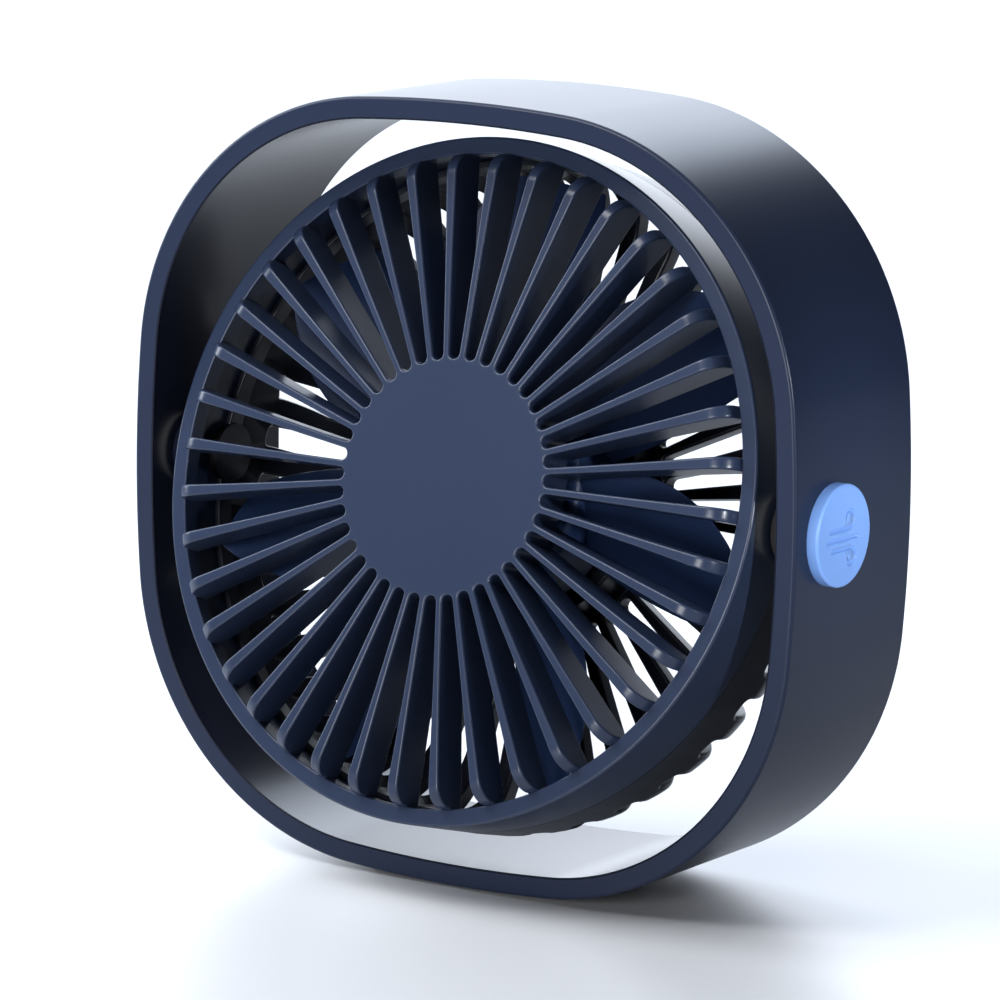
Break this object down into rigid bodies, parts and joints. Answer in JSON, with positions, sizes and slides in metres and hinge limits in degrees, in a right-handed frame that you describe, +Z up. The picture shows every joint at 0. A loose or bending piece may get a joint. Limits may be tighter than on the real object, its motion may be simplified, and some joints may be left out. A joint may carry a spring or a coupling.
{
  "type": "desk fan",
  "caption": "USB desk fan: a round tilting head with a radial-rib grille, hung inside a rounded-square ring stand.",
  "frame": {"origin": "on the standing surface, under the middle of the ring stand in width and depth (the middle of the foot pad's underside)", "axes": "+Z up, +X to the right seen from the front, the front of the fan faces -Y"},
  "size_m": [0.1546, 0.07, 0.1504],
  "materials": {
    "shell_navy": "satin moulded ABS, navy blue",
    "liner_navy": "satin moulded ABS, dark navy",
    "grille_navy": "satin moulded ABS, navy blue",
    "rear_navy": "fine-textured moulded ABS, dark navy",
    "accent_blue": "satin moulded ABS, light blue",
    "impeller_navy": "semi-gloss moulded ABS, navy blue",
    "button_blue": "satin moulded ABS, light blue",
    "foot_rubber": "matt silicone rubber",
    "acetal_white": "natural acetal",
    "steel": "bright zinc-plated or stainless steel",
    "black_steel": "black-oxide steel",
    "bronze": "sintered bronze",
    "core_steel": "lacquered electrical steel",
    "copper_wire": "enamelled copper winding",
    "magnet": "bonded ferrite",
    "board_green": "solder-masked glass-epoxy board",
    "chip_black": "moulded epoxy",
    "lead_sleeve": "PVC wire insulation",
    "light_pipe": "clear acrylic"
  },
  "bodies": {
    "stand": {"stand_shell": "shell_navy", "stand_liner": "liner_navy", "foot_pad": "foot_rubber", "pivot_bushes": "acetal_white", "right_pivot_cap": "accent_blue", "left_pivot_cap": "accent_blue"},
    "head": {"front_grille": "grille_navy", "rear_grille": "rear_navy", "pivot_pins": "black_steel", "friction_washers": "foot_rubber", "retaining_washers": "steel", "pivot_screws": "steel", "motor_base": "steel", "motor_bearings": "bronze", "stator_core": "core_steel", "stator_coils": "copper_wire", "motor_board": "board_green", "motor_screws": "steel", "motor_leads": "lead_sleeve", "hub_cover": "rear_navy", "control_board": "board_green", "board_screws": "steel", "board_parts": "chip_black", "usb_socket": "steel", "tact_switch": "chip_black", "status_led": "acetal_white", "light_pipe": "light_pipe"},
    "rotor": {"impeller": "impeller_navy", "rotor_yoke": "steel", "rotor_magnet": "magnet", "motor_shaft": "steel", "shaft_circlip": "steel"},
    "button": {"power_button": "button_blue", "switch_plunger": "chip_black"}
  },
  "joints": [
    {"name": "head_tilt", "type": "hinge", "parent": "stand", "child": "head", "pos_m": [0, -0.0076, 0.0754], "axis": [1, 0, 0], "continuous": true},
    {"name": "fan_spin", "type": "hinge", "parent": "head", "child": "rotor", "pos_m": [0, -0.0076, 0.0754], "axis": [0, -0.9655, 0.2605], "continuous": true},
    {"name": "button_press", "type": "slide", "parent": "head", "child": "button", "axis": [0, -0.9655, 0.2605], "range_m": [0, 0.0006], "stiffness_N_per_m": 800, "springref_m": -0.0004}
  ]
}
